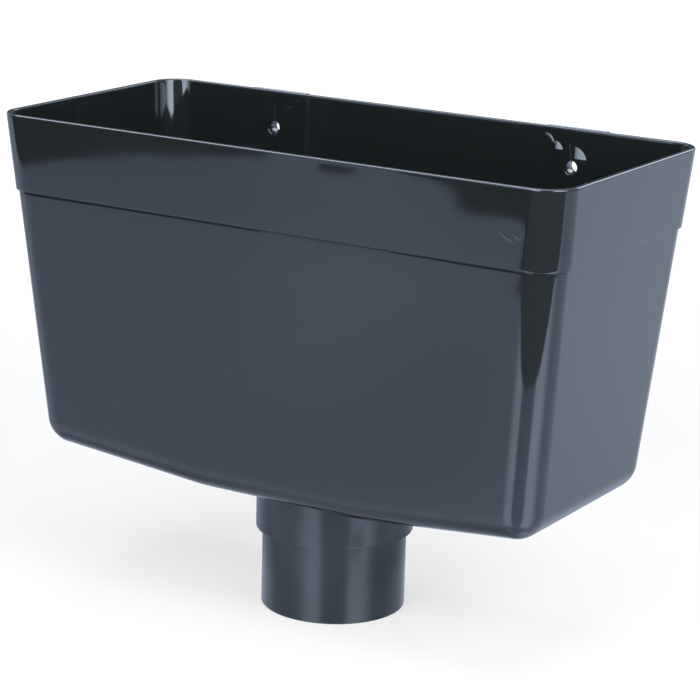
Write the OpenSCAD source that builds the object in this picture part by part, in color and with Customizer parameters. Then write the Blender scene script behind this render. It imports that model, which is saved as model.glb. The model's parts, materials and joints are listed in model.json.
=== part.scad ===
// Downpipe hopper head: an open tapered box that gathers rainwater and drains through a spigot in its floor.
// Sizes are in millimetres and angles in degrees. The origin is the centre of the spigot's lower end, Z
// points up, the long way runs along X and the building wall is on the +Y side.

/* [Mouth] */
// Width over the rim
rim_width = 295; // [270:1:330]
// Depth over the rim, front to back
rim_depth = 140; // [130:1:170]
// Height of the rim above the spigot's lower end
rim_height = 227; // [215:1:250]
// Radius of the upright corners at the rim
corner_r = 15; // [12:0.5:18]
// How much rounder the inside corners are than an even wall would make them
inner_ease = 0.5; // [0:0.5:6]
// Rounding of the rim's outer edge
rim_round = 0.8; // [0.4:0.1:1]
// Wall thickness of the whole moulding
wall = 2.5; // [2:0.1:3]

/* [Band] */
// Height of the band under the rim
band_h = 36; // [30:1:44]
// How far the band stands proud of the body
band_step = 1.25; // [0.5:0.25:2]

/* [Body] */
// Lean of the two end walls
side_lean = 5.2; // [4:0.1:6]
// Lean of the front and back walls
front_lean = 4.5; // [3:0.1:5]
// Height of the floor's level underside above the spigot's lower end
floor_z = 60.5; // [54:0.5:66]
// Half length of the level middle of the floor
level_half = 42.5; // [41:0.5:50]
// Rise of the floor from its level middle to the end walls
floor_rise = 6.8; // [3:0.2:10]

/* [Outlet] */
// Outside diameter of the spigot that enters the pipe socket
spigot_od = 68; // [65:0.5:70]
// Length of the spigot below the collar
spigot_len = 37.5; // [30:0.5:42]
// Outside diameter of the collar that the pipe socket stops against
collar_od = 74.2; // [72:0.2:78]

/* [Wall fixing] */
// Distance between the two fixing holes
fixing_spacing = 164; // [140:1:180]
// Depth of the holes below the rim
hole_drop = 18; // [14:0.5:20]
// Diameter of the fixing holes
hole_d = 6.2; // [5:0.1:7]
// Width of each lug
lug_width = 31; // [28:0.5:36]
// Height of each lug, down from the rim
lug_h = 33; // [28:0.5:36]
// How far the lugs stand behind the rim
lug_reach = 4; // [3:0.5:8]
// Width of the solid web round each fixing hole
web_width = 13; // [11:0.5:14]
// Thickness of the ribs round each lug
rib = 2.2; // [1.8:0.1:2.6]

/* [Hidden] */
band_z = rim_height - band_h;
// Share of the wall by which the ledge inside lies above the step outside
ledge_share = 0.9;
ledge_z = band_z + ledge_share * wall;
foot_r = corner_r - band_step;
wing_z = floor_z + floor_rise;
spigot_r = spigot_od / 2;
collar_r = collar_od / 2;
throat_z = spigot_len + (collar_od - spigot_od);
pad_y = rim_depth / 2 + lug_reach;
hole_z = rim_height - hole_drop;
rib_gap = lug_width / 2 - rib - web_width / 2;
slip = 0.01;
through = 1;

// Half width and half depth of the leaning walls at height z, measured in from the band's face.
function half_x(z, inset) = rim_width / 2 - (rim_height - z) * tan(side_lean) - inset;
function half_y(z, inset) = rim_depth / 2 - (rim_height - z) * tan(front_lean) - inset;

// Thin outline of the box at height z, set in from the band's face, its corners rounder by the ease.
module outline(z, inset, ease) {
    r = corner_r - inset + ease;
    translate([0, 0, z])
        linear_extrude(slip)
            for (sx = [-1, 1], sy = [-1, 1])
                translate([sx * (half_x(z, inset) - r), sy * (half_y(z, inset) - r)])
                    circle(r, $fn = 48);
}

// The four rounds of the box's foot about the corner axes at x and y, centred at height z: balls of radius r,
// which the ease widens inwards to discs with a rounded edge.
module foot_rounds(x, y, z, r, ease) {
    for (sx = [-1, 1], sy = [-1, 1])
        translate([sx * (x - ease), sy * (y - ease), z])
            rotate_extrude($fn = 48)
                intersection() {
                    translate([ease, 0])
                        circle(r, $fn = 48);
                    translate([0, -r])
                        square([r + ease, 2 * r]);
                }
}

// The band under the rim as a solid, set in from its own face.
module band(inset, low, top, edge, ease) {
    hull() {
        outline(low, inset, ease);
        outline(top - edge, inset, ease);
        outline(top - edge / 4, inset + edge / 4, ease);
        outline(top - slip, inset + edge, ease);
    }
}

// The body below the band as a solid: leaning walls, rounded foot and a floor that falls to its level middle.
module body(inset, top, ease) {
    end_z = wing_z + foot_r;
    end_x = half_x(end_z, band_step) - foot_r;
    end_y = half_y(end_z, band_step) - foot_r;
    mid_z = floor_z + foot_r;
    mid_y = half_y(mid_z, band_step) - foot_r;
    r = foot_r - inset;
    hull() {
        outline(top - slip, band_step + inset, ease);
        foot_rounds(end_x, end_y, end_z, r, ease);
        foot_rounds(level_half, mid_y, mid_z, r, ease);
    }
}

// Outlet stub: the collar under the floor and the spigot below it.
module outlet() {
    cylinder(h = floor_z + wall, r = spigot_r, $fn = 128);
    translate([0, 0, spigot_len])
        cylinder(h = floor_z + wall - spigot_len, r = collar_r, $fn = 128);
}

// Waterway through the outlet, wider in the collar so that the wall keeps its thickness.
module waterway() {
    translate([0, 0, -through])
        cylinder(h = spigot_len + 2 * through, r = spigot_r - wall, $fn = 128);
    translate([0, 0, spigot_len])
        cylinder(h = throat_z - spigot_len, r1 = spigot_r - wall, r2 = collar_r - wall, $fn = 128);
    translate([0, 0, throat_z - slip])
        cylinder(h = floor_z + wall + through - throat_z, r = collar_r - wall, $fn = 128);
}

// One wall lug: ribs round its edge and a web for the fixing hole, with a pocket on each side of the web.
module lug() {
    depth = pad_y - half_y(rim_height - lug_h, 0) + wall / 2;
    translate([-lug_width / 2, pad_y - depth, rim_height - lug_h])
        difference() {
            cube([lug_width, depth, lug_h]);
            for (x = [rib, lug_width - rib - rib_gap])
                translate([x, -through, rib])
                    cube([rib_gap, depth + 2 * through, lug_h - 2 * rib]);
        }
}

// The whole moulding.
module hopper_head() {
    color([0.02, 0.025, 0.03])
        difference() {
            union() {
                band(0, band_z, rim_height, rim_round, 0);
                body(0, band_z + slip, 0);
                outlet();
                for (sx = [-1, 1])
                    translate([sx * fixing_spacing / 2, 0, 0])
                        lug();
            }
            band(wall, ledge_z, rim_height + through, 0, inner_ease);
            body(wall, ledge_z + slip, inner_ease);
            waterway();
            for (sx = [-1, 1])
                translate([sx * fixing_spacing / 2, pad_y + through, hole_z])
                    rotate([90, 0, 0])
                        cylinder(h = pad_y - half_y(hole_z, wall) + 4 * through, d = hole_d, $fn = 48);
        }
}

hopper_head();
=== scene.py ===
"""Dresses a moulded downpipe hopper head: shell, lugs and gloss plastic, then the studio and the camera."""

import json
import logging
import math
from collections.abc import Sequence
from dataclasses import astuple, dataclass, fields
from enum import Enum
from typing import ClassVar

import bmesh
import bpy
from mathutils import Matrix, Vector


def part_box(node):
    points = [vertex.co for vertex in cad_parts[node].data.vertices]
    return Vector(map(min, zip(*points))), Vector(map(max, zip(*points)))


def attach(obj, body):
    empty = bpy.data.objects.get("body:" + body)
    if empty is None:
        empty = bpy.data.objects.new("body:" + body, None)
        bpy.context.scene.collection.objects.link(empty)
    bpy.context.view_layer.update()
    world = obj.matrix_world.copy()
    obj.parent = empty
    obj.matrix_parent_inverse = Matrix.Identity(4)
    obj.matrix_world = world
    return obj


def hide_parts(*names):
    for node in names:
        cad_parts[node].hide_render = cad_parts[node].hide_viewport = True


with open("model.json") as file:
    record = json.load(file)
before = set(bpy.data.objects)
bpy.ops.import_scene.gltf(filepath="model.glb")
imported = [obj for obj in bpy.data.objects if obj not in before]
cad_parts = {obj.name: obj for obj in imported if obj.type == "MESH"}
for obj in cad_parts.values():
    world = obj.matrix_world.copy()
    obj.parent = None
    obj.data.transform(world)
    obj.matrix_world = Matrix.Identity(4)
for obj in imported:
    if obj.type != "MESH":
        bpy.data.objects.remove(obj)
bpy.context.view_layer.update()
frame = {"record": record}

LOG = logging.getLogger("hopper_head")
NODE = "hopper_head"
MM = 0.001

Value = bpy.types.NodeSocket | float | tuple[float, ...]
Point = tuple[float, float]
Place = tuple[float, float, float]
Colour = tuple[float, float, float, float]


def tan_deg(angle: float) -> float:
    """Tangent of an angle in degrees."""
    return math.tan(math.radians(angle))


def mix(low: float, high: float, share: float) -> float:
    """The value a share of the way from low to high."""
    return low + (high - low) * share


def spread(low: float, high: float, steps: int) -> list[float]:
    """Even values from low to high, both ends included."""
    return [mix(low, high, i / steps) for i in range(steps + 1)]


def arc(
    centre: Point, radius: float, start: float, stop: float, steps: int, tall: float = 0.0
) -> list[Point]:
    """Points on a circular or oval arc.

    Args:
        centre: Centre of the arc.
        radius: Its radius.
        start: Angle of the first point, in degrees.
        stop: Angle of the last point, in degrees.
        steps: Number of chords.
        tall: Its radius up and down, where the arc is an oval.

    Returns:
        The points in order, both ends included.
    """
    angles = [math.radians(a) for a in spread(start, stop, steps)]
    return [(centre[0] + radius * math.cos(a), centre[1] + (tall or radius) * math.sin(a)) for a in angles]


def toward(azimuth: float, distance: float) -> Point:
    """The floor point at a distance from the middle, its azimuth in degrees from -Y towards +X."""
    a = math.radians(azimuth)
    return distance * math.sin(a), -distance * math.cos(a)


def link(name: str, mesh: bpy.types.Mesh) -> bpy.types.Object:
    """A new object of the scene that shows a mesh."""
    made = bpy.data.objects.new(name, mesh)
    bpy.context.scene.collection.objects.link(made)
    return made


class Sheet:
    """Lays nodes into one tree and joins their sockets."""

    def __init__(self, tree: bpy.types.NodeTree) -> None:
        """Starts on a tree that is empty."""
        self.tree = tree

    def put(
        self, kind: str, inputs: dict[int | str, Value] | None = None, **options: object
    ) -> bpy.types.Node:
        """Adds a node.

        Args:
            kind: The node's type name.
            inputs: Values or sockets for its inputs, by name or number.
            options: Settings of the node itself.

        Returns:
            The new node.
        """
        node = self.tree.nodes.new(kind)
        for name, option in options.items():
            setattr(node, name, option)
        for key, value in (inputs or {}).items():
            self.feed(node.inputs[key], value)
        return node

    def feed(self, socket: bpy.types.NodeSocket, value: Value) -> None:
        """Links a socket into an input, or sets the input to a plain value."""
        if isinstance(value, bpy.types.NodeSocket):
            self.tree.links.new(value, socket)
        else:
            socket.default_value = value

    def math(self, operation: str, *values: Value) -> bpy.types.NodeSocket:
        """Output of a math node on one to three values."""
        return self.put("ShaderNodeMath", dict(enumerate(values)), operation=operation).outputs[0]

    def vector(self, operation: str, *values: Value) -> bpy.types.NodeSocket:
        """Output of a vector math node whose result is a vector."""
        node = self.put("ShaderNodeVectorMath", dict(enumerate(values)), operation=operation)
        return node.outputs["Vector"]

    def length(self, value: Value) -> bpy.types.NodeSocket:
        """Length of a vector."""
        return self.put("ShaderNodeVectorMath", {0: value}, operation="LENGTH").outputs["Value"]

    def scaled(self, value: Value, factor: Value) -> bpy.types.NodeSocket:
        """A vector times a number."""
        node = self.put("ShaderNodeVectorMath", {"Vector": value, "Scale": factor}, operation="SCALE")
        return node.outputs["Vector"]

    def combine(self, x: Value = 0.0, y: Value = 0.0, z: Value = 0.0) -> bpy.types.NodeSocket:
        """A vector from its three parts."""
        return self.put("ShaderNodeCombineXYZ", {"X": x, "Y": y, "Z": z}).outputs["Vector"]

    def parts(self, value: Value) -> tuple[bpy.types.NodeSocket, ...]:
        """The three parts of a vector."""
        return tuple(self.put("ShaderNodeSeparateXYZ", {"Vector": value}).outputs)

    def ramp(self, value: Value, start: float, stop: float) -> bpy.types.NodeSocket:
        """A smooth step from 0 where the value is start to 1 where it is stop."""
        inputs = {"Value": value, "From Min": start, "From Max": stop}
        return self.put("ShaderNodeMapRange", inputs, interpolation_type="SMOOTHSTEP").outputs["Result"]

    def noise(self, place: Value, scale: float, detail: float) -> bpy.types.NodeSocket:
        """Value of a noise texture."""
        inputs = {"Vector": place, "Scale": scale, "Detail": detail}
        return self.put("ShaderNodeTexNoise", inputs).outputs[0]


def fresh(owner: bpy.types.Material | bpy.types.World | bpy.types.Light) -> Sheet:
    """An empty sheet on the nodes of a material, a world or a lamp."""
    owner.use_nodes = True
    owner.node_tree.nodes.clear()
    return Sheet(owner.node_tree)


class Rule(Sheet):
    """A Geometry Nodes tree with named inputs, and the values they get on a modifier."""

    def __init__(self, name: str) -> None:
        """Makes an empty tree that takes a geometry and gives one back."""
        super().__init__(bpy.data.node_groups.new(name, "GeometryNodeTree"))
        self.values: dict[str, object] = {}
        self.tree.interface.new_socket("Geometry", in_out="INPUT", socket_type="NodeSocketGeometry")
        self.tree.interface.new_socket("Geometry", in_out="OUTPUT", socket_type="NodeSocketGeometry")
        self.entry = self.put("NodeGroupInput")

    def size(self, name: str, value: object, kind: str = "Float") -> bpy.types.NodeSocket:
        """Adds a named input.

        Args:
            name: The input's name.
            value: What the modifier sets it to.
            kind: Its socket type.

        Returns:
            The input's socket inside the tree.
        """
        made = self.tree.interface.new_socket(name, in_out="INPUT", socket_type="NodeSocket" + kind)
        self.values[made.identifier] = value
        return self.entry.outputs[name]

    def carried(self, name: str, kind: str = "FLOAT") -> bpy.types.NodeSocket:
        """A value that the points carry under a name."""
        node = self.put("GeometryNodeInputNamedAttribute", {"Name": name}, data_type=kind)
        return node.outputs["Attribute"]

    def finish(self, geometry: bpy.types.NodeSocket, material: bpy.types.Material) -> None:
        """Ends the tree with its instances realised and a material set.

        Args:
            geometry: The geometry made so far.
            material: The material of every face.
        """
        solid = self.put("GeometryNodeRealizeInstances", {"Geometry": geometry}).outputs["Geometry"]
        coat = self.size("Material", material, "Material")
        dressed = self.put("GeometryNodeSetMaterial", {"Geometry": solid, "Material": coat})
        self.put("NodeGroupOutput", {"Geometry": dressed.outputs["Geometry"]})

    def apply(self, target: bpy.types.Object) -> None:
        """Puts the tree on an object, each input set by its identifier."""
        modifier = target.modifiers.new(self.tree.name, "NODES")
        modifier.node_group = self.tree
        for identifier, value in self.values.items():
            modifier[identifier] = value


@dataclass(frozen=True)
class MouldSizes:
    """Sizes of the moulding in millimetres and degrees; those without a default come from the frame."""

    half_width: float
    half_depth: float
    height: float
    spigot_r: float
    spigot_len: float
    hole_x: float
    hole_z: float
    hole_r: float
    pad_y: float
    corner_r: float = 15.0
    rim_round: float = 0.8
    wall: float = 2.5
    band_h: float = 36.0
    band_step: float = 1.25
    ledge_share: float = 0.9
    end_lean: float = 5.2
    front_lean: float = 4.5
    floor_z: float = 60.5
    level_half: float = 42.5
    floor_rise: float = 6.8
    collar_r: float = 37.1

    @classmethod
    def from_frame(cls, record: dict) -> "MouldSizes":
        """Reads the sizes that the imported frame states.

        Args:
            record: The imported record.

        Returns:
            The sizes, with the leaning walls carried on up to the rim.
        """
        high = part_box(NODE)[1] / MM
        mounts = {m["name"]: m for m in record["mounts"]}
        spigot = mounts["spigot"]["dims"]
        fixings = mounts["wall_fixings"]
        return cls(
            half_width=high.x + cls.rim_round * tan_deg(cls.end_lean),
            half_depth=-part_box(NODE)[0].y / MM + cls.rim_round * tan_deg(cls.front_lean),
            height=high.z,
            spigot_r=spigot["r_mm"],
            spigot_len=spigot["length_mm"],
            hole_x=fixings["dims"]["spacing_x_mm"] / 2,
            hole_z=fixings["pos_m"][2] / MM,
            hole_r=fixings["dims"]["hole_r_mm"],
            pad_y=fixings["pos_m"][1] / MM,
        )

    @property
    def band_z(self) -> float:
        """Height of the band's lower edge."""
        return self.height - self.band_h

    @property
    def ledge_z(self) -> float:
        """Height of the ledge inside, which lies a share of the wall above the band's lower edge."""
        return self.band_z + self.ledge_share * self.wall

    @property
    def foot_r(self) -> float:
        """Radius of the rounded foot and of the body's corners."""
        return self.corner_r - self.band_step

    @property
    def end_axis(self) -> float:
        """Distance of the corner axes from the middle where the foot's rounding ends, at the end walls."""
        z = self.floor_z + self.floor_rise + self.foot_r
        return self.half_width - (self.height - z) * tan_deg(self.end_lean) - self.corner_r

    def half_y(self, z: float) -> float:
        """Half depth over the band's face at a height."""
        return self.half_depth - (self.height - z) * tan_deg(self.front_lean)


@dataclass(frozen=True)
class Ring:
    """One closed loop of the skin, as the rule reads it.

    Attributes:
        level: Height of the loop.
        reach: Distance out from the leaning corner axes.
        drop: Height added after the axes are read, negative below them.
        foot: 0 at the loop's own level, 1 at the foot of the axes, which follows the falling floor.
        outlet: 0 on the box, 1 on the outlet's circle.
        radius: Radius of that circle.
        ease: How much further in the corner axes stand, which makes the corners rounder by as much.
    """

    level: float = 0.0
    reach: float = 0.0
    drop: float = 0.0
    foot: float = 0.0
    outlet: float = 0.0
    radius: float = 0.0
    ease: float = 0.0


@dataclass
class Shell:
    """The tapered shell with its band, falling floor and outlet, drawn as one closed skin by a rule.

    Lengths are in millimetres, as in the other pieces of the moulding.

    Attributes:
        sizes: Sizes of the moulding.
        front_columns: Columns of the skin across the front.
        back_columns: Columns across the back.
        end_columns: Columns across each end.
        corner_steps: Columns round each corner.
        fan: How far out of the corner axes the outlet's rays point.
        edge: Rounding of the band's lower edge.
        fillet: Rounding under the ledge inside.
        rim_fall: How far down the rim's rounding reaches.
        shoulder: Width of the rounding on the body under the band.
        shoulder_h: Height of that rounding.
        shoulder_drop: How far below the band it ends.
        inner_edge: Rounding of the rim's inner edge.
        inner_ease: How much rounder the inside corners are.
        lip: Rounding of the ends of the collar and the spigot.
        neck: Rounding where the collar meets the floor.
        seat: Rounding where the spigot meets the collar, and on the ledge inside.
        mouth: Rounding of the outlet's mouth in the floor.
        bend: How wide the bend is where the floor's level middle ends.
        skin: How far the walls lie inside the solid's.
    """

    sizes: MouldSizes
    front_columns: int = 60
    back_columns: int = 60
    end_columns: int = 26
    corner_steps: int = 24
    fan: float = 20.0
    edge: float = 0.2
    fillet: float = 0.4
    rim_fall: float = 1.0
    shoulder: float = 0.5
    shoulder_h: float = 0.4
    shoulder_drop: float = 0.25
    inner_edge: float = 0.5
    inner_ease: float = 0.5
    lip: float = 0.3
    neck: float = 0.6
    seat: float = 0.3
    mouth: float = 1.0
    bend: float = 5.0
    skin: float = 0.004

    @property
    def body_z(self) -> float:
        """Height at which the body's plain wall starts."""
        return self.sizes.band_z - self.shoulder_h - self.shoulder_drop

    def box_rings(self, points: Sequence[Point], ease: float = 0.0) -> list[Ring]:
        """Loops on the box from points of reach and height."""
        return [Ring(level=z, reach=reach - self.skin, ease=ease) for reach, z in points]

    def pipe_rings(self, points: Sequence[Point]) -> list[Ring]:
        """Loops on the outlet from points of radius and height."""
        return [Ring(level=z, outlet=1.0, radius=radius) for radius, z in points]

    def wall_rings(self, level: float, reach: float, ease: float = 0.0) -> list[Ring]:
        """Loops down a leaning wall, the foot's rounding and as far as the flat floor.

        Args:
            level: Height at which the wall starts.
            reach: Its distance out from the corner axes.
            ease: How much rounder its corners are.

        Returns:
            The loops from the top of the wall to the start of the floor.
        """
        lean = (self.sizes.end_lean + self.sizes.front_lean) / 2
        foot = reach / math.cos(math.radians(lean))
        shares = (0.012, 0.2, 0.4, 0.6, 0.8, 0.985)
        rings = [Ring(level=level, reach=mix(reach, foot, w), foot=w, ease=ease) for w in shares]
        for out, down in arc((0.0, 0.0), reach, -lean, -90.0, 16):
            rings.append(Ring(reach=out, drop=down, foot=1.0, ease=ease))
        return rings

    def floor_rings(self, reach: float, radius: float, ease: float = 0.0) -> list[Ring]:
        """Loops across a floor from the foot's rounding in to the outlet.

        Args:
            reach: Radius of the foot's rounding.
            radius: Radius at which the outlet takes over.
            ease: How much rounder its corners are.

        Returns:
            The loops between, without the two ends.
        """
        shares = (0.01, *spread(0.05, 0.95, 14), 0.985)
        return [Ring(drop=-reach, foot=1.0, outlet=t, radius=radius, ease=ease) for t in shares]

    def rim_points(self) -> list[Point]:
        """Reach and height of the loops over the rim, down the band and round the body's shoulder."""
        s, e = self.sizes, self.edge
        out, top, step = s.corner_r, s.height, s.band_z
        points = [(out - s.wall + self.inner_edge + 0.2, top), (out - s.rim_round - 0.2, top)]
        points += arc((out - s.rim_round, top - self.rim_fall), s.rim_round, 90, 0, 10, self.rim_fall)
        points += [(out, top - self.rim_fall - 0.8), (out, mix(step, top, 0.5)), (out, step + 1.3)]
        points += arc((out - e, step + e), e, 0, -90, 3)
        shoulder = arc((s.foot_r - self.shoulder, self.body_z), self.shoulder, 70, 0, 6, self.shoulder_h)
        return [*points, (shoulder[0][0], step), *shoulder]

    def outlet_points(self) -> list[Point]:
        """Radius and height of the loops down the collar and the spigot, and up the waterway."""
        s, p, n = self.sizes, self.lip, self.neck
        low, foot, seat, mouth = s.spigot_len, s.floor_z, self.seat, self.mouth
        points = arc((s.collar_r + n, foot - n), n, 90, 180, 4)
        points += [(s.collar_r, z) for z in (foot - 1.8, mix(foot, low, 0.5), low + 1.6)]
        points += arc((s.collar_r - p, low + p), p, 0, -90, 4)
        points += [(s.spigot_r + 1.3, low)] + arc((s.spigot_r + seat, low - seat), seat, 90, 180, 3)
        points += [(s.spigot_r, z) for z in (low - 1.4, low / 2, 1.6)]
        points += arc((s.spigot_r - p, p), p, 0, -90, 4)
        bore, throat = s.spigot_r - s.wall, s.collar_r - s.wall
        points += [(s.spigot_r - p - 0.3, 0.0), (bore + p + 0.2, 0.0)]
        points += arc((bore + p, p), p, -90, -180, 4)
        points += [(bore, z) for z in (1.6, low - 1, low)]
        throat_z = low + 2 * (throat - bore)
        points += [(throat, z) for z in (throat_z, throat_z + 1, foot)]
        return points + arc((throat + mouth, foot + s.wall - mouth), mouth, 180, 90, 4)

    def inner_points(self) -> list[Point]:
        """Reach and height of the loops over the ledge inside, up the band and round the rim's inner edge."""
        s, f, n, seat = self.sizes, self.fillet, self.inner_edge, self.seat
        inner, hollow = s.corner_r - s.wall, s.foot_r - s.wall
        points = arc((hollow + f, s.ledge_z - f), f, 180, 90, 4)
        points += arc((inner - seat, s.ledge_z + seat), seat, -90, 0, 3)
        points += [(inner, z) for z in spread(s.ledge_z + 1.2, s.height - 1.4, 4)]
        return points + arc((inner + n, s.height - n), n, 180, 90, 4)

    def rings(self) -> list[Ring]:
        """All the loops of the skin in order: rim, outside down, outlet, inside up."""
        s, ease = self.sizes, self.inner_ease
        hollow, throat = s.foot_r - s.wall, s.collar_r - s.wall
        return [
            *self.box_rings(self.rim_points()),
            *self.wall_rings(self.body_z, s.foot_r),
            *self.floor_rings(s.foot_r, s.collar_r + self.neck),
            *self.pipe_rings(self.outlet_points()),
            *reversed(self.floor_rings(hollow, throat + self.mouth, ease)),
            *reversed(self.wall_rings(s.ledge_z - self.fillet, hollow, ease)),
            *self.box_rings(self.inner_points(), ease),
        ]

    def columns(self) -> list[tuple[Point, Point]]:
        """The columns of the skin in order round the box.

        Returns:
            For each column its share of the corner axes' place, -1 to 1 each way, and its outward direction.
        """
        sides = (
            ((-1, -1), (1, -1), self.front_columns, -90),
            ((1, -1), (1, 1), self.end_columns, 0),
            ((1, 1), (-1, 1), self.back_columns, 90),
            ((-1, 1), (-1, -1), self.end_columns, 180),
        )
        made = []
        for start, stop, count, facing in sides:
            out = arc((0.0, 0.0), 1.0, facing, facing, 1)[0]
            for share in (0.002, *spread(0.012, 0.988, count), 0.998):
                made.append(((mix(start[0], stop[0], share), mix(start[1], stop[1], share)), out))
            turns = arc((0.0, 0.0), 1.0, facing, facing + 90, self.corner_steps)
            made += [(stop, turned) for turned in turns]
        return made

    def carrier(self) -> bpy.types.Object:
        """A closed grid of quads, each point carrying its column and its loop for the rule to place."""
        rings, columns = self.rings(), self.columns()
        rows, wide = len(rings), len(columns)
        quads = []
        for i in range(rows):
            this, after = i * wide, (i + 1) % rows * wide
            for j in range(wide):
                k = (j + 1) % wide
                quads.append((this + j, after + j, after + k, this + k))
        mesh = bpy.data.meshes.new(NODE)
        mesh.from_pydata([(0.0, 0.0, 0.0)] * (rows * wide), [], quads)
        for number, name in enumerate(field.name for field in fields(Ring)):
            scale = 1.0 if name in ("foot", "outlet") else MM
            values = [astuple(ring)[number] * scale for ring in rings for _ in columns]
            mesh.attributes.new(name, "FLOAT", "POINT").data.foreach_set("value", values)
        x, y = self.sizes.end_axis, self.sizes.half_y(self.sizes.floor_z) - self.sizes.corner_r
        far = self.fan
        rays = [Vector((s[0] * x + d[0] * far, s[1] * y + d[1] * far, 0)).normalized() for s, d in columns]
        carried = {
            "station": [(*s, 0.0) for s, _ in columns],
            "outward": [(*d, 0.0) for _, d in columns],
            "ray": rays,
        }
        for name, vectors in carried.items():
            flat = [part for vector in vectors for part in vector] * rows
            mesh.attributes.new(name, "FLOAT_VECTOR", "POINT").data.foreach_set("vector", flat)
        return link(NODE, mesh)

    def rule(self, material: bpy.types.Material) -> Rule:
        """The tree that sets every point of the grid on the moulding.

        Args:
            material: The plastic.

        Returns:
            The finished tree.
        """
        s, rule = self.sizes, Rule("hopper shell")
        height = rule.size("Rim Height", s.height * MM)
        ends = rule.size("End Slope", tan_deg(s.end_lean))
        fronts = rule.size("Front Slope", tan_deg(s.front_lean))
        axis_x = rule.size("Rim Axis X", (s.half_width - s.corner_r) * MM)
        axis_y = rule.size("Rim Axis Y", (s.half_depth - s.corner_r) * MM)
        end_axis = rule.size("Foot Axis X", s.end_axis * MM)
        level_half = rule.size("Level Half", s.level_half * MM)
        fall = rule.size("Floor Slope", s.floor_rise / (s.end_axis - s.level_half))
        foot_z = rule.size("Foot Height", (s.floor_z + s.foot_r) * MM)
        bend = rule.size("Floor Bend", self.bend * MM)
        level, reach, drop, foot, outlet, radius, ease = (rule.carried(field.name) for field in fields(Ring))
        station, outward, ray = (rule.carried(name, "FLOAT_VECTOR") for name in ("station", "outward", "ray"))

        def blend(low: Value, high: Value, share: Value) -> bpy.types.NodeSocket:
            """The value a share of the way between two sockets."""
            return rule.math("MULTIPLY_ADD", rule.math("SUBTRACT", high, low), share, low)

        round_x = rule.math("MULTIPLY", rule.parts(outward)[0], ease)
        inner_x = rule.math("SUBTRACT", end_axis, ease)
        box_x = rule.math("MULTIPLY_ADD", rule.parts(station)[0], inner_x, round_x)
        along = blend(box_x, rule.math("MULTIPLY", rule.parts(ray)[0], radius), outlet)
        past = rule.math("SUBTRACT", rule.math("ABSOLUTE", along), level_half)
        rise = rule.math("MULTIPLY", rule.math("SMOOTH_MAX", past, 0.0, bend), fall)
        axis_z = blend(level, rule.math("ADD", foot_z, rise), foot)
        below = rule.math("SUBTRACT", height, axis_z)
        at_x, at_y = (
            rule.math("SUBTRACT", rule.math("SUBTRACT", axis, ease), rule.math("MULTIPLY", below, slope))
            for axis, slope in ((axis_x, ends), (axis_y, fronts))
        )
        arm = rule.scaled(outward, rule.math("ADD", reach, ease))
        boxed = rule.vector("MULTIPLY_ADD", station, rule.combine(at_x, at_y), arm)
        round_out = rule.scaled(ray, radius)
        flat = rule.vector("ADD", boxed, rule.scaled(rule.vector("SUBTRACT", round_out, boxed), outlet))
        x, y, _ = rule.parts(flat)
        place = rule.combine(x, y, rule.math("ADD", axis_z, drop))
        grid = rule.entry.outputs["Geometry"]
        placed = rule.put("GeometryNodeSetPosition", {"Geometry": grid, "Position": place})
        joined = rule.put("GeometryNodeMergeByDistance", {"Geometry": placed.outputs[0], "Distance": 2e-6})
        rule.finish(joined.outputs[0], material)
        return rule

    def build(self, material: bpy.types.Material) -> bpy.types.Object:
        """The shell as an object that still carries its rule.

        Args:
            material: The plastic.

        Returns:
            The object.
        """
        made = self.carrier()
        self.rule(material).apply(made)
        return made


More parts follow.
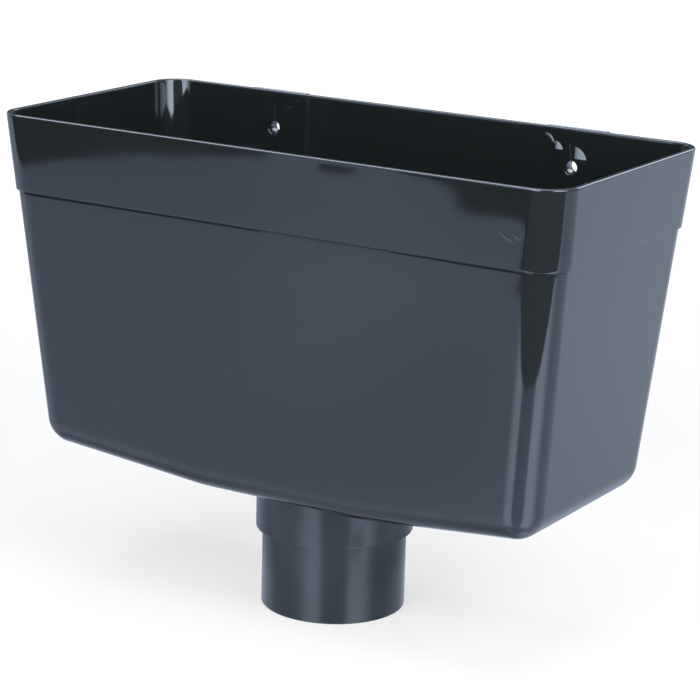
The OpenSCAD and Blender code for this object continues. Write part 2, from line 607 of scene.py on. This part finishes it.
@dataclass
class WallLugs:
    """The two cored lugs behind the mouth and the holes through them, set out along a line by a rule.

    Attributes:
        sizes: Sizes of the moulding.
        width: Width of each lug.
        height: Height of each lug.
        web: Width of the web round the hole.
        rib: Thickness of the ribs.
        chamfer: Easing of the rear edges.
        flare: Widening of the hole's ends.
        below_rim: How far the lugs stay below the rim.
        fall: How far their tops fall towards the rear.
        around: Sides of each hole.
        sharp: Angle in degrees past which an edge of the moulding stays sharp.
    """

    sizes: MouldSizes
    width: float = 31.0
    height: float = 33.0
    web: float = 13.0
    rib: float = 2.2
    chamfer: float = 0.35
    flare: float = 0.35
    below_rim: float = 0.02
    fall: float = 0.35
    around: int = 48
    sharp: float = 34.0

    def lug(self) -> bpy.types.Object:
        """One lug at the middle of the back wall: a frame of ribs with a web, its rear edges eased."""
        s = self.sizes
        low, top = s.height - self.height, s.height - self.below_rim
        columns = (-self.width / 2, self.rib - self.width / 2, -self.web / 2)
        columns += tuple(-x for x in reversed(columns))
        levels = (low, low + self.rib, s.height - self.rib, top)
        shape = bmesh.new()
        grid = [
            [shape.verts.new((x * MM, (s.half_y(z) - s.wall / 2) * MM, z * MM)) for x in columns]
            for z in levels
        ]
        for i in range(len(levels) - 1):
            for j in range(len(columns) - 1):
                if i != 1 or j not in (1, 3):
                    shape.faces.new((grid[i][j], grid[i][j + 1], grid[i + 1][j + 1], grid[i + 1][j]))
        pulled = bmesh.ops.extrude_face_region(shape, geom=shape.faces[:], use_keep_orig=True)
        rear = {part for part in pulled["geom"] if isinstance(part, bmesh.types.BMVert)}
        for vert in rear:
            vert.co.y = s.pad_y * MM
            if vert.co.z > (top - 0.01) * MM:
                vert.co.z -= self.fall * MM
        bmesh.ops.recalc_face_normals(shape, faces=shape.faces[:])
        edges = [e for e in shape.edges if set(e.verts) <= rear and e.calc_face_angle(0.0) > 1.0]
        bmesh.ops.bevel(shape, geom=edges, offset=self.chamfer * MM, segments=2, profile=0.5, affect="EDGES")
        return self.shown("wall_lug", shape)

    def cutter(self) -> bpy.types.Object:
        """The tool of one fixing hole, flared where it meets the leaning wall and the upright pad."""
        s, f, past, nick = self.sizes, self.flare, 2, 0.1
        face, pad = s.half_y(s.hole_z) - s.wall, s.pad_y
        profile = [(face - past, f, 1), (face, f, 1), (face + nick, f / 3, 1), (face + f, 0, 1)]
        profile += [(pad - f, 0, 0), (pad - nick, f / 3, 0), (pad, f, 0), (pad + past, f, 0)]
        shape = bmesh.new()
        loops = []
        for y, wider, leaning in profile:
            loop = []
            for dx, dz in arc((0.0, 0.0), s.hole_r + wider, 0, 360, self.around)[:-1]:
                lean = dz * tan_deg(s.front_lean) * leaning
                loop.append(shape.verts.new((dx * MM, (y + lean) * MM, (s.hole_z + dz) * MM)))
            loops.append(loop)
        for first, second in zip(loops, loops[1:]):
            for k in range(len(first)):
                after = (k + 1) % len(first)
                shape.faces.new((first[k], first[after], second[after], second[k]))
        shape.faces.new(loops[0])
        shape.faces.new(loops[-1])
        bmesh.ops.recalc_face_normals(shape, faces=shape.faces[:])
        return self.shown("hole_cutter", shape)

    @staticmethod
    def shown(name: str, shape: bmesh.types.BMesh) -> bpy.types.Object:
        """An object made from a finished bmesh."""
        mesh = bpy.data.meshes.new(name)
        shape.to_mesh(mesh)
        shape.free()
        return link(name, mesh)

    def rule(self, lug: bpy.types.Object, cutter: bpy.types.Object, material: bpy.types.Material) -> Rule:
        """The tree that joins the lugs to the shell and cuts their holes.

        Args:
            lug: One lug at the middle of the back wall.
            cutter: One hole's tool, at the same place.
            material: The plastic.

        Returns:
            The finished tree.
        """
        rule = Rule("wall lugs and fixing holes")
        half = rule.size("Half Spacing", self.sizes.hole_x * MM)
        start = rule.combine(rule.math("MULTIPLY", half, -1.0))
        offset = rule.combine(rule.math("MULTIPLY", half, 2.0))
        pair = {"Count": 2, "Start Location": start, "Offset": offset}
        line = rule.put("GeometryNodeMeshLine", pair).outputs["Mesh"]

        def row_of(name: str, tool: bpy.types.Object) -> bpy.types.NodeSocket:
            """The tool repeated at both fixings."""
            source = rule.put("GeometryNodeObjectInfo", {"Object": rule.size(name, tool, "Object")})
            inputs = {"Points": line, "Instance": source.outputs["Geometry"]}
            spots = rule.put("GeometryNodeInstanceOnPoints", inputs)
            return rule.put("GeometryNodeRealizeInstances", {"Geometry": spots.outputs[0]}).outputs[0]

        whole = rule.put("GeometryNodeMeshBoolean", operation="UNION", solver="EXACT")
        rule.feed(whole.inputs["Mesh 2"], rule.entry.outputs["Geometry"])
        rule.feed(whole.inputs["Mesh 2"], row_of("Lug", lug))
        bored = rule.put("GeometryNodeMeshBoolean", operation="DIFFERENCE", solver="EXACT")
        rule.feed(bored.inputs["Mesh 1"], whole.outputs["Mesh"])
        rule.feed(bored.inputs["Mesh 2"], row_of("Hole", cutter))
        rule.finish(bored.outputs["Mesh"], material)
        return rule

    def build(self, shell: bpy.types.Object, material: bpy.types.Material) -> bpy.types.Object:
        """Adds the lugs and their holes to the shell and makes the whole a plain mesh.

        Args:
            shell: The shell with its rule.
            material: The plastic.

        Returns:
            The finished moulding.
        """
        tools = self.lug(), self.cutter()
        self.rule(*tools, material).apply(shell)
        result = shell.evaluated_get(bpy.context.evaluated_depsgraph_get())
        mesh = bpy.data.meshes.new_from_object(result)
        shell.modifiers.clear()
        shell.data = mesh
        for tool in tools:
            bpy.data.objects.remove(tool)
        mesh.shade_smooth()
        mesh.set_sharp_from_angle(angle=math.radians(self.sharp))
        return shell


@dataclass(frozen=True)
class Bulge:
    """A slight bulge of the inner back wall over the ribs of a lug.

    Attributes:
        across: Place outwards of the fixing hole, in millimetres.
        up: Place above it.
        radius: Radius of the mark.
        height: Height of the mark.
        side: Where its steep inward side stands, outwards of its middle.
        power: How flat its top is; 2 gives a plain dome.
        steep: Width of its steep side.
    """

    across: float
    up: float
    radius: float
    height: float
    side: float
    power: float = 2.0
    steep: float = 0.6


@dataclass(frozen=True)
class Scratch:
    """A fine pale scratch on the front.

    Attributes:
        start: Where it starts, across from the middle and up from the spigot's end, in millimetres.
        stop: Where it ends.
        width: Half its width.
        taper: Half the length over which each end fades.
    """

    start: Point
    stop: Point
    width: float = 0.45
    taper: float = 0.4


@dataclass(frozen=True)
class GlossPlastic:
    """Gloss black uPVC with the unevenness, marks and weld lines of a moulding, the weld lines painted pale
    as a highlight; lengths in millimetres.

    Attributes:
        colour: Colour of the plastic itself.
        pale: Colour of scratched plastic and specks, and of the painted highlight along the weld lines.
        tint: Colour of its reflections.
        roughness: Mean roughness of the skin.
        uneven: How far the roughness varies.
        patches: How fine and how detailed the patches of uneven roughness are.
        noise_span: Values between which most of that noise lies.
        satin: How much rougher the outlet is.
        satin_fade: Length over which that sets in.
        ior: Index of refraction.
        waves: How fine the waves of the skin are, and how high.
        peel: How fine its grain is, and how high.
        bulges: The bulges over each fixing hole.
        faint: Share of their height that the bulges over the left hole have.
        scratches: The scratches on the front.
        scratch_in: How far in from the front of the rim they may lie.
        weld: How pale the weld lines over the fixing holes are, a painted highlight along them.
        weld_from: Heights above the hole at which a weld line starts and is full.
        weld_to: Heights at which it has ended and is still full.
        weld_half: Half its width.
        weld_lean: Lean of the one on the right.
        weld_foot: Height above the hole of the point about which it leans.
        weld_in: How far in from the back of the rim they lie, and the allowance either way.
        specks: How pale the specks are.
        speck_grid: How close together they are.
        speck_size: Distances from a speck's middle, in cells, at which it has ended and is still full.
    """

    colour: Colour = (0.0104, 0.0124, 0.0116, 1.0)
    pale: Colour = (0.058, 0.070, 0.074, 1.0)
    tint: Colour = (0.85, 0.94, 1.0, 1.0)
    roughness: float = 0.052
    uneven: float = 0.03
    patches: Point = (34.0, 3.0)
    noise_span: Point = (0.3, 0.7)
    satin: float = 0.17
    satin_fade: float = 2.0
    ior: float = 1.6
    waves: Point = (26.0, 0.045)
    peel: Point = (700.0, 0.0012)
    bulges: tuple[Bulge, ...] = (
        Bulge(across=0.4, up=2.4, radius=7.6, height=1.03, side=1.2),
        Bulge(across=-9.3, up=7.0, radius=4.6, height=0.69, side=0.6),
        Bulge(across=-14.5, up=9.7, radius=5.2, height=0.195, side=0.4, power=8.0),
    )
    faint: float = 0.25
    scratches: tuple[Scratch, ...] = (
        Scratch((118.5, 206.4), (121.1, 204.6)),
        Scratch((121.1, 204.6), (124.4, 203.1)),
        Scratch((125.1, 206.0), (128.1, 204.4)),
    )
    scratch_in: float = 3.0
    weld: float = 0.4
    weld_from: Point = (3.0, 4.0)
    weld_to: Point = (11.8, 10.5)
    weld_half: float = 0.5
    weld_lean: float = 0.2
    weld_foot: float = 3.9
    weld_in: Point = (4.0, 2.0)
    specks: float = 0.3
    speck_grid: float = 110.0
    speck_size: Point = (0.045, 0.02)

    @staticmethod
    def from_hole(sheet: Sheet, x: Value, z: Value, sizes: MouldSizes) -> tuple[Value, Value]:
        """Distances outwards of the nearer fixing hole and above it."""
        across = sheet.math("SUBTRACT", sheet.math("ABSOLUTE", x), sizes.hole_x * MM)
        return across, sheet.math("SUBTRACT", z, sizes.hole_z * MM)

    def shares(self, sheet: Sheet, place: bpy.types.NodeSocket, sizes: MouldSizes) -> bpy.types.NodeSocket:
        """Share of the pale colour in the skin: the weld lines' painted highlight, and scratches and specks.

        Args:
            sheet: The material's nodes.
            place: Object coordinates.
            sizes: Sizes of the moulding.

        Returns:
            The share, 0 on plain plastic.
        """
        x, y, z = sheet.parts(place)
        across, up = self.from_hole(sheet, x, z, sizes)
        # Weld lines: real weld lines of the moulding, painted pale along them as a highlight.
        starts, stops = (sheet.ramp(up, a * MM, b * MM) for a, b in (self.weld_from, self.weld_to))
        over = sheet.math("MULTIPLY", starts, stops)
        lean = sheet.math("MULTIPLY", sheet.math("GREATER_THAN", x, 0.0), self.weld_lean)
        aside = sheet.math("MULTIPLY_ADD", sheet.math("SUBTRACT", up, self.weld_foot * MM), lean, across)
        line = sheet.ramp(sheet.math("ABSOLUTE", aside), self.weld_half * MM, 0.0)
        inset, allowance = self.weld_in
        back = sheet.math("COMPARE", y, (sizes.half_depth - inset) * MM, allowance * MM)
        lines = sheet.math("MULTIPLY", sheet.math("MULTIPLY", line, over), back)
        total = sheet.math("MULTIPLY", lines, self.weld)
        front = sheet.math("LESS_THAN", y, (self.scratch_in - sizes.half_depth) * MM)
        for scratch in self.scratches:
            (x0, z0), (x1, z1) = scratch.start, scratch.stop
            half = math.hypot(x1 - x0, z1 - z0) / 2
            right, rise = (x1 - x0) / half / 2, (z1 - z0) / half / 2
            dx = sheet.math("SUBTRACT", x, (x0 + x1) / 2 * MM)
            dz = sheet.math("SUBTRACT", z, (z0 + z1) / 2 * MM)
            along = sheet.math("MULTIPLY_ADD", dx, right, sheet.math("MULTIPLY", dz, rise))
            beside = sheet.math("MULTIPLY_ADD", dz, right, sheet.math("MULTIPLY", dx, -rise))
            taper = scratch.taper
            ends = sheet.ramp(sheet.math("ABSOLUTE", along), (half + taper) * MM, (half - taper) * MM)
            core = sheet.ramp(sheet.math("ABSOLUTE", beside), scratch.width * MM, 0.0)
            total = sheet.math("MULTIPLY_ADD", sheet.math("MULTIPLY", core, ends), front, total)
        cells = sheet.put("ShaderNodeTexVoronoi", {"Vector": place, "Scale": self.speck_grid})
        dust = sheet.ramp(cells.outputs["Distance"], *self.speck_size)
        return sheet.math("MULTIPLY_ADD", dust, self.specks, total)

    def heights(self, sheet: Sheet, place: bpy.types.NodeSocket, sizes: MouldSizes) -> bpy.types.NodeSocket:
        """Height of the skin's fine relief in millimetres.

        Args:
            sheet: The material's nodes.
            place: Object coordinates.
            sizes: Sizes of the moulding.

        Returns:
            The height for a bump node.
        """
        x, y, z = sheet.parts(place)
        waves, peel = (
            sheet.math("MULTIPLY", sheet.noise(place, scale, 1.0), height)
            for scale, height in (self.waves, self.peel)
        )
        across, up = self.from_hole(sheet, x, z, sizes)
        right = sheet.math("MULTIPLY_ADD", sheet.math("GREATER_THAN", x, 0.0), 1.0 - self.faint, self.faint)
        marks: Value = 0.0
        for bulge in self.bulges:
            out = sheet.math("SUBTRACT", across, bulge.across * MM)
            away = sheet.combine(out, 0.0, sheet.math("SUBTRACT", up, bulge.up * MM))
            near = sheet.math("MINIMUM", sheet.math("DIVIDE", sheet.length(away), bulge.radius * MM), 1.0)
            dome = sheet.math("SUBTRACT", 1.0, sheet.math("POWER", near, bulge.power))
            side = sheet.ramp(out, (bulge.side - bulge.steep) * MM, bulge.side * MM)
            marks = sheet.math("MULTIPLY_ADD", sheet.math("MULTIPLY", dome, side), bulge.height, marks)
        slope = tan_deg(sizes.front_lean)
        rear = (sizes.half_depth - sizes.wall - sizes.height * slope) * MM
        off = sheet.math("SUBTRACT", y, sheet.math("MULTIPLY_ADD", z, slope, rear))
        allowance = 0.4 * MM
        inner = sheet.math("LESS_THAN", sheet.math("ABSOLUTE", off), allowance)
        raised = sheet.math("MULTIPLY", sheet.math("MULTIPLY", marks, right), inner)
        return sheet.math("ADD", sheet.math("ADD", waves, peel), raised)

    def material(self, sizes: MouldSizes) -> bpy.types.Material:
        """Makes the material.

        Args:
            sizes: Sizes of the moulding, for the places of its marks.

        Returns:
            The material.
        """
        made = bpy.data.materials.new("gloss black upvc")
        sheet = fresh(made)
        place = sheet.put("ShaderNodeTexCoord").outputs["Object"]
        low, high = self.noise_span
        mottled = sheet.put("ShaderNodeMapRange", {
            "Value": sheet.noise(place, *self.patches), "From Min": low, "From Max": high,
            "To Min": self.roughness - self.uneven / 2, "To Max": self.roughness + self.uneven / 2,
        })
        foot = sizes.floor_z
        outlet = sheet.ramp(sheet.parts(place)[2], foot * MM, (foot - self.satin_fade) * MM)
        rough = sheet.math("MULTIPLY_ADD", outlet, self.satin, mottled.outputs["Result"])
        relief = self.heights(sheet, place, sizes)
        bump = sheet.put("ShaderNodeBump", {"Height": relief, "Strength": 1.0, "Distance": MM})
        skin = sheet.put("ShaderNodeBsdfPrincipled", {
            "Base Color": self.colour, "Roughness": rough, "IOR": self.ior, "Specular Tint": self.tint,
            "Normal": bump.outputs["Normal"],
        })
        # Pale marks: scratches and specks, and the painted highlight of the weld lines.
        paler = tuple(high - low for low, high in zip(self.colour[:3], self.pale[:3]))
        marked = sheet.vector("ADD", self.colour[:3], sheet.scaled(paler, self.shares(sheet, place, sizes)))
        sheet.feed(skin.inputs["Base Color"], marked)
        sheet.put("ShaderNodeOutputMaterial", {"Surface": skin.outputs["BSDF"]})
        return made


class Glow(Enum):
    """Radiance of a card that shows only in the plastic, where 1 is the white of the floor."""

    DARK = 0.11
    ROOM = 0.25
    FLAG = 0.28
    WINDOW = 4.5
    SKYLIGHT = 8.0


@dataclass(frozen=True)
class Card:
    """A flat reflector or flag of the studio, which the camera doesn't see.

    Attributes:
        name: What it is.
        glow: Its radiance.
        outline: Its corners in millimetres, in order.
    """

    name: str
    glow: Glow
    outline: tuple[Place, ...]

    def build(self) -> bpy.types.Object:
        """The card as an object that only reflections meet."""
        mesh = bpy.data.meshes.new(self.name)
        corners = [[part * MM for part in corner] for corner in self.outline]
        mesh.from_pydata(corners, [], [range(len(corners))])
        mesh.materials.append(self.material())
        made = link(self.name, mesh)
        made.visible_camera = made.visible_diffuse = made.visible_shadow = made.visible_transmission = False
        return made

    def material(self) -> bpy.types.Material:
        """A plain glow; a window's is of the lamps' colour, and only the plastic itself mirrors it."""
        made = bpy.data.materials.new(self.name)
        sheet = fresh(made)
        tone, level = Studio.daylight, self.glow.value
        if self.glow in (Glow.WINDOW, Glow.SKYLIGHT):
            depth, past_first = sheet.put("ShaderNodeLightPath").outputs["Ray Depth"], 1.5
            first = sheet.math("LESS_THAN", depth, past_first)
            tone, level = Studio.lamplight, sheet.math("MULTIPLY", first, level)
        shine = sheet.put("ShaderNodeEmission", {"Color": tone, "Strength": level})
        sheet.put("ShaderNodeOutputMaterial", {"Surface": shine.outputs[0]})
        return made


@dataclass(frozen=True)
class Softbox:
    """A lamp with an oblong face, turned to the object.

    Attributes:
        name: What it is.
        azimuth: Its direction, in degrees from -Y towards +X.
        lift: Height of its middle, in metres.
        distance: Its distance in metres, level with the floor.
        width: Width of its face in metres.
        height: Height of its face.
        radiance: How bright its face is, where 1 is white.
        fade: Where across its width it is dark and where it is full, from 0 on its left to 1.
    """

    name: str
    azimuth: float
    lift: float
    distance: float
    width: float
    height: float
    radiance: float
    fade: Point = (-1.0, -0.5)

    def build(self, aim: Vector) -> bpy.types.Object:
        """The lamp, turned to a point in metres."""
        lamp = bpy.data.lights.new(self.name, "AREA")
        lamp.shape, lamp.size, lamp.size_y = "RECTANGLE", self.width, self.height
        lamp.energy = self.radiance * math.pi * self.width * self.height
        lamp.color = Studio.lamplight[:3]
        sheet = fresh(lamp)
        across = sheet.parts(sheet.put("ShaderNodeNewGeometry").outputs["Parametric"])[0]
        shine = sheet.put("ShaderNodeEmission", {"Strength": sheet.ramp(across, *self.fade)})
        sheet.put("ShaderNodeOutputLight", {"Surface": shine.outputs[0]})
        made = bpy.data.objects.new(self.name, lamp)
        bpy.context.scene.collection.objects.link(made)
        made.location = (*toward(self.azimuth, self.distance), self.lift)
        made.rotation_euler = (aim - made.location).to_track_quat("-Z", "Y").to_euler()
        made.visible_camera = False
        return made


@dataclass
class Studio:
    """A gloss white table in a pale room, with softboxes, and flags where the table ends in reflections.

    Lengths on the table are in metres, and a pair is where a change starts and where it is full.

    Attributes:
        floor_half: Half the table's width.
        floor_gap: How far the table lies below the spigot's end.
        shade: How much of the lamps' light the table shows to the eye, and so of the shadow.
        fill: Its own light to the eye near the object.
        far_fill: The same far from it.
        fill_out: Distance from the object of that change.
        table: Its colour in reflections.
        table_lit: Its own light in reflections.
        end_lit: How much brighter it is in reflections past the right end, a painted pool of the end
            softbox's light.
        end_x: Where that is, along X.
        contact: How much dimmer it is under and behind the object, a painted shadow of the object in
            reflections.
        behind_y: Where that is, along Y.
        behind_x: Where that is, along X.
        spigot_out: Distance from the spigot over which that grows from a half to the whole.
        lee: How much dimmer it is in front of the object, a painted shade in reflections.
        lee_x: Where that is, along X.
        lee_y: Where that is, along Y.
        far_dim: How much dimmer it is further in front, a painted shade in reflections.
        far_y: Where that is, along Y.
        gloss: How much it mirrors in reflections.
        gloss_roughness: How soft that is.
        bare: A spot where the table's sheen is cut out, a painted shade that takes a glint of the top softbox
            off the corner's foot.
        bare_out: Distance from there over which the sheen comes back.
        room: Light of the room.
        room_seen: Its light in reflections.
        aim_z: Height at which the softboxes are pointed.
        wall_out: Distance of the curved walls, in millimetres.
        wall_top: Height of those walls, in millimetres.
        flag_z: Height of the flags, in millimetres.
    """

    daylight: ClassVar[Colour] = (0.89, 1.0, 1.24, 1.0)
    lamplight: ClassVar[Colour] = (0.93, 1.0, 1.13, 1.0)
    floor_half: float = 4.0
    floor_gap: float = 2e-4
    shade: float = 0.3
    fill: float = 0.66
    far_fill: float = 0.95
    fill_out: Point = (0.3, 1.2)
    table: float = 0.08
    table_lit: float = 0.72
    end_lit: float = 0.08
    end_x: Point = (0.12, 0.35)
    contact: float = 0.6
    behind_y: Point = (-0.10, -0.045)
    behind_x: Point = (0.14, 0.09)
    spigot_out: Point = (0.06, 0.11)
    lee: float = 0.3
    lee_x: Point = (-0.2, -0.02)
    lee_y: Point = (-0.12, -0.26)
    far_dim: float = 0.15
    far_y: Point = (-0.44, -0.56)
    gloss: float = 0.28
    gloss_roughness: float = 0.21
    bare: Place = (0.132, -0.068, 0.0)
    bare_out: Point = (0.012, 0.034)
    room: float = 0.35
    room_seen: float = 0.9
    aim_z: float = 0.13
    wall_out: float = 2400.0
    wall_top: float = 1200.0
    flag_z: float = 1.0

    def tinted(self, level: float) -> Colour:
        """The cool colour of the table and the room in reflections, at a level."""
        red, green, blue, _ = self.daylight
        return red * level, green * level, blue * level, 1.0

    def white_table(self, sheet: Sheet, place: Value, seen: Value) -> bpy.types.NodeSocket:
        """The table as the eye meets it, white with the object's shadow.

        Args:
            sheet: The table's nodes.
            place: Object coordinates.
            seen: 1 where the eye meets it straight or through something clear.

        Returns:
            Its shader.
        """
        out = sheet.ramp(sheet.length(place), *self.fill_out)
        fill = sheet.math("MULTIPLY_ADD", out, self.far_fill - self.fill, self.fill)
        plain = tuple(self.shade / part for part in self.lamplight[:3])
        matt = sheet.put("ShaderNodeBsdfDiffuse", {"Color": (*plain, 1.0)})
        lit = sheet.put("ShaderNodeEmission", {"Strength": sheet.math("MULTIPLY", seen, fill)})
        return sheet.put("ShaderNodeAddShader", {0: matt.outputs[0], 1: lit.outputs[0]}).outputs[0]

    def table_light(self, sheet: Sheet, place: Value) -> bpy.types.NodeSocket:
        """How bright the table is in reflections, with a painted shadow round the object, painted shade in
        front and far in front, and a painted pool of light past the right end.

        Args:
            sheet: The table's nodes.
            place: Object coordinates.

        Returns:
            The level, 1 on the open table.
        """
        x, y, _ = sheet.parts(place)
        # Painted light past the right end, painted shadow under and behind the object, painted shade in front
        # and far in front.
        end = sheet.math("MULTIPLY_ADD", sheet.ramp(x, *self.end_x), self.end_lit, 1.0)
        behind = sheet.math("MULTIPLY", sheet.ramp(y, *self.behind_y), sheet.ramp(x, *self.behind_x))
        clear = sheet.ramp(sheet.length(place), *self.spigot_out)
        behind = sheet.math("MULTIPLY", behind, sheet.math("MULTIPLY_ADD", clear, 0.5, 0.5))
        lee = sheet.math("MULTIPLY", sheet.ramp(x, *self.lee_x), sheet.ramp(y, *self.lee_y))
        beside = sheet.math("MULTIPLY_ADD", behind, -self.contact, 1.0)
        dim = sheet.math("MULTIPLY_ADD", lee, -self.lee, beside)
        far = sheet.math("MULTIPLY_ADD", sheet.ramp(y, *self.far_y), -self.far_dim, 1.0)
        return sheet.math("MULTIPLY", sheet.math("MULTIPLY", end, dim), far)

    def mirrored_table(self, sheet: Sheet, place: Value) -> bpy.types.NodeSocket:
        """The table as the plastic mirrors it, its glow carrying the painted light and shade of table_light,
        with the sheen of its own gloss.

        Args:
            sheet: The table's nodes.
            place: Object coordinates.

        Returns:
            Its shader.
        """
        under = sheet.put("ShaderNodeBsdfDiffuse", {"Color": self.tinted(self.table)})
        glow = {"Color": self.tinted(self.table_lit), "Strength": self.table_light(sheet, place)}
        bright = sheet.put("ShaderNodeEmission", glow)
        pale = sheet.put("ShaderNodeAddShader", {0: under.outputs[0], 1: bright.outputs[0]})
        # Painted shade: the table's sheen is cut out round one spot, so a glint of the top softbox leaves the
        # corner's foot.
        away = sheet.length(sheet.vector("SUBTRACT", place, self.bare))
        polish = sheet.scaled((self.gloss, self.gloss, self.gloss), sheet.ramp(away, *self.bare_out))
        sheen = sheet.put("ShaderNodeBsdfGlossy", {"Color": polish, "Roughness": self.gloss_roughness})
        return sheet.put("ShaderNodeAddShader", {0: pale.outputs[0], 1: sheen.outputs[0]}).outputs[0]

    def floor(self) -> bpy.types.Object:
        """The table top just under the spigot, white to the eye and glossy in the plastic's reflections."""
        made = bpy.data.materials.new("white floor")
        sheet = fresh(made)
        path = sheet.put("ShaderNodeLightPath").outputs
        place = sheet.put("ShaderNodeTexCoord").outputs["Object"]
        seen = sheet.math("MAXIMUM", path["Is Camera Ray"], path["Is Transmission Ray"])
        white, mirrored = self.white_table(sheet, place, seen), self.mirrored_table(sheet, place)
        look = sheet.put("ShaderNodeMixShader", {0: path["Is Glossy Ray"], 1: white, 2: mirrored})
        sheet.put("ShaderNodeOutputMaterial", {"Surface": look.outputs[0]})
        mesh = bpy.data.meshes.new("floor")
        h, z = self.floor_half, -self.floor_gap
        mesh.from_pydata([(-h, -h, z), (h, -h, z), (h, h, z), (-h, h, z)], [], [(0, 1, 2, 3)])
        mesh.materials.append(made)
        return link("floor", mesh)

    def world(self) -> None:
        """The pale room, plain white to the eye."""
        world = bpy.data.worlds.new("pale room")
        sheet = fresh(world)
        path = sheet.put("ShaderNodeLightPath").outputs
        seen = sheet.math("MAXIMUM", path["Is Glossy Ray"], path["Is Transmission Ray"])
        strength = sheet.math("MULTIPLY_ADD", seen, self.room_seen - self.room, self.room)
        walls = sheet.put("ShaderNodeBackground", {"Color": self.daylight, "Strength": strength})
        white = sheet.put("ShaderNodeBackground", {"Color": (1.0, 1.0, 1.0, 1.0), "Strength": 1.0})
        look = sheet.put("ShaderNodeMixShader", {
            0: path["Is Camera Ray"], 1: walls.outputs[0], 2: white.outputs[0],
        })
        sheet.put("ShaderNodeOutputWorld", {"Surface": look.outputs[0]})
        bpy.context.scene.world = world

    def cards(self) -> list[Card]:
        """The flags beyond the table's edges, the dim walls behind the softboxes and the two windows."""
        def laid(name: str, glow: Glow, *corners: Point) -> Card:
            """A flag lying just above the floor."""
            return Card(name, glow, tuple((x, y, self.flag_z) for x, y in corners))

        def stood(name: str, glow: Glow, start: float, stop: float, low: float = 0.0) -> list[Card]:
            """A curved wall of cards between two azimuths."""
            foot = [toward(azimuth, self.wall_out) for azimuth in spread(start, stop, 8)]
            top = self.wall_top
            return [
                Card(name, glow, ((*a, low), (*b, low), (*b, top), (*a, top)))
                for a, b in zip(foot, foot[1:])
            ]

        return [
            laid(
                "left flag", Glow.DARK, (-780, -280), (-545, -540), (-515, -575), (-470, -603),
                (-385, -632), (-1520, -2500), (-2500, -2500), (-2500, 0),
            ),
            laid("small flag", Glow.DARK, (-345, -638), (-336, -620), (-312, -622), (-309, -636)),
            laid(
                "middle flag", Glow.DARK, (-280, -645), (-229, -623), (-210, -592), (-196, -583),
                (-160, -586), (-145, -572), (-100, -470), (-100, -2500), (-1360, -2500),
            ),
            laid(
                "front flag", Glow.FLAG, (-100, -470), (0, -425), (150, -344), (267, -280), (375, -194),
                (460, -135), (600, -40), (2000, 0), (2000, -2500), (-100, -2500),
            ),
            *stood("left wall", Glow.ROOM, -80, -34),
            *stood("front wall", Glow.ROOM, -27, 145),
            *stood("back wall", Glow.DARK, 190, 236, 400.0),
            Card("skylight", Glow.SKYLIGHT, (
                (-1600, -900, 1600), (-200, -900, 1600), (-200, 500, 1600), (-1600, 500, 1600),
            )),
            Card("back window", Glow.WINDOW, (
                (-200, 2400, 950), (1500, 2400, 950), (1500, 2400, 1900), (-200, 2400, 1900),
            )),
        ]

    def softboxes(self) -> list[Softbox]:
        """The lamps in front, past the right end and overhead."""
        return [
            Softbox(
                "front softbox", azimuth=-6.6, lift=0.60, distance=1.0, width=0.725, height=0.85,
                radiance=5.9, fade=(-0.1, 0.6),
            ),
            Softbox(
                "end softbox", azimuth=76.3, lift=0.60, distance=0.95, width=0.82, height=0.85,
                radiance=6.5, fade=(1.1, 0.4),
            ),
            Softbox("top softbox", azimuth=180, lift=1.6, distance=0.01, width=1.2, height=1.2, radiance=3.0),
        ]

    def build(self) -> None:
        """Sets the scene round the object."""
        bpy.context.scene.view_settings.view_transform = "Standard"
        self.world()
        self.floor()
        cards, lamps = self.cards(), self.softboxes()
        for card in cards:
            card.build()
        for lamp in lamps:
            lamp.build(Vector((0.0, 0.0, self.aim_z)))
        LOG.info("studio: floor, %d cards and %d softboxes", len(cards), len(lamps))


@dataclass(frozen=True)
class Viewpoint:
    """The photograph's camera, with its place, lens and sensor in millimetres and its angles in degrees."""

    place: Place = (611.59, -988.22, 431.83)
    azimuth: float = 31.502
    elevation: float = 14.887
    roll: float = 1.545
    lens: float = 133.14
    sensor: float = 36.0

    def build(self) -> bpy.types.Object:
        """Makes the scene's camera."""
        data = bpy.data.cameras.new("camera")
        data.lens, data.sensor_width = self.lens, self.sensor
        made = bpy.data.objects.new("camera", data)
        bpy.context.scene.collection.objects.link(made)
        turn = Matrix.Rotation(math.radians(self.azimuth), 4, "Z")
        turn @= Matrix.Rotation(math.radians(90 - self.elevation), 4, "X")
        turn @= Matrix.Rotation(math.radians(self.roll), 4, "Z")
        made.matrix_world = Matrix.Translation(Vector(self.place) * MM) @ turn
        bpy.context.scene.camera = made
        return made


def main() -> None:
    """Builds the moulding, the studio and the camera, and logs what it made."""
    logging.basicConfig(level=logging.INFO, format="%(name)s: %(message)s")
    sizes = MouldSizes.from_frame(frame["record"])
    plastic = GlossPlastic().material(sizes)
    moulding = WallLugs(sizes).build(Shell(sizes).build(plastic), plastic)
    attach(moulding, "root")
    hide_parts(NODE)
    LOG.info("moulding: %d faces", len(moulding.data.polygons))
    Studio().build()
    Viewpoint().build()
    LOG.info("camera: at the photograph's place")


if __name__ == "__main__":
    main()
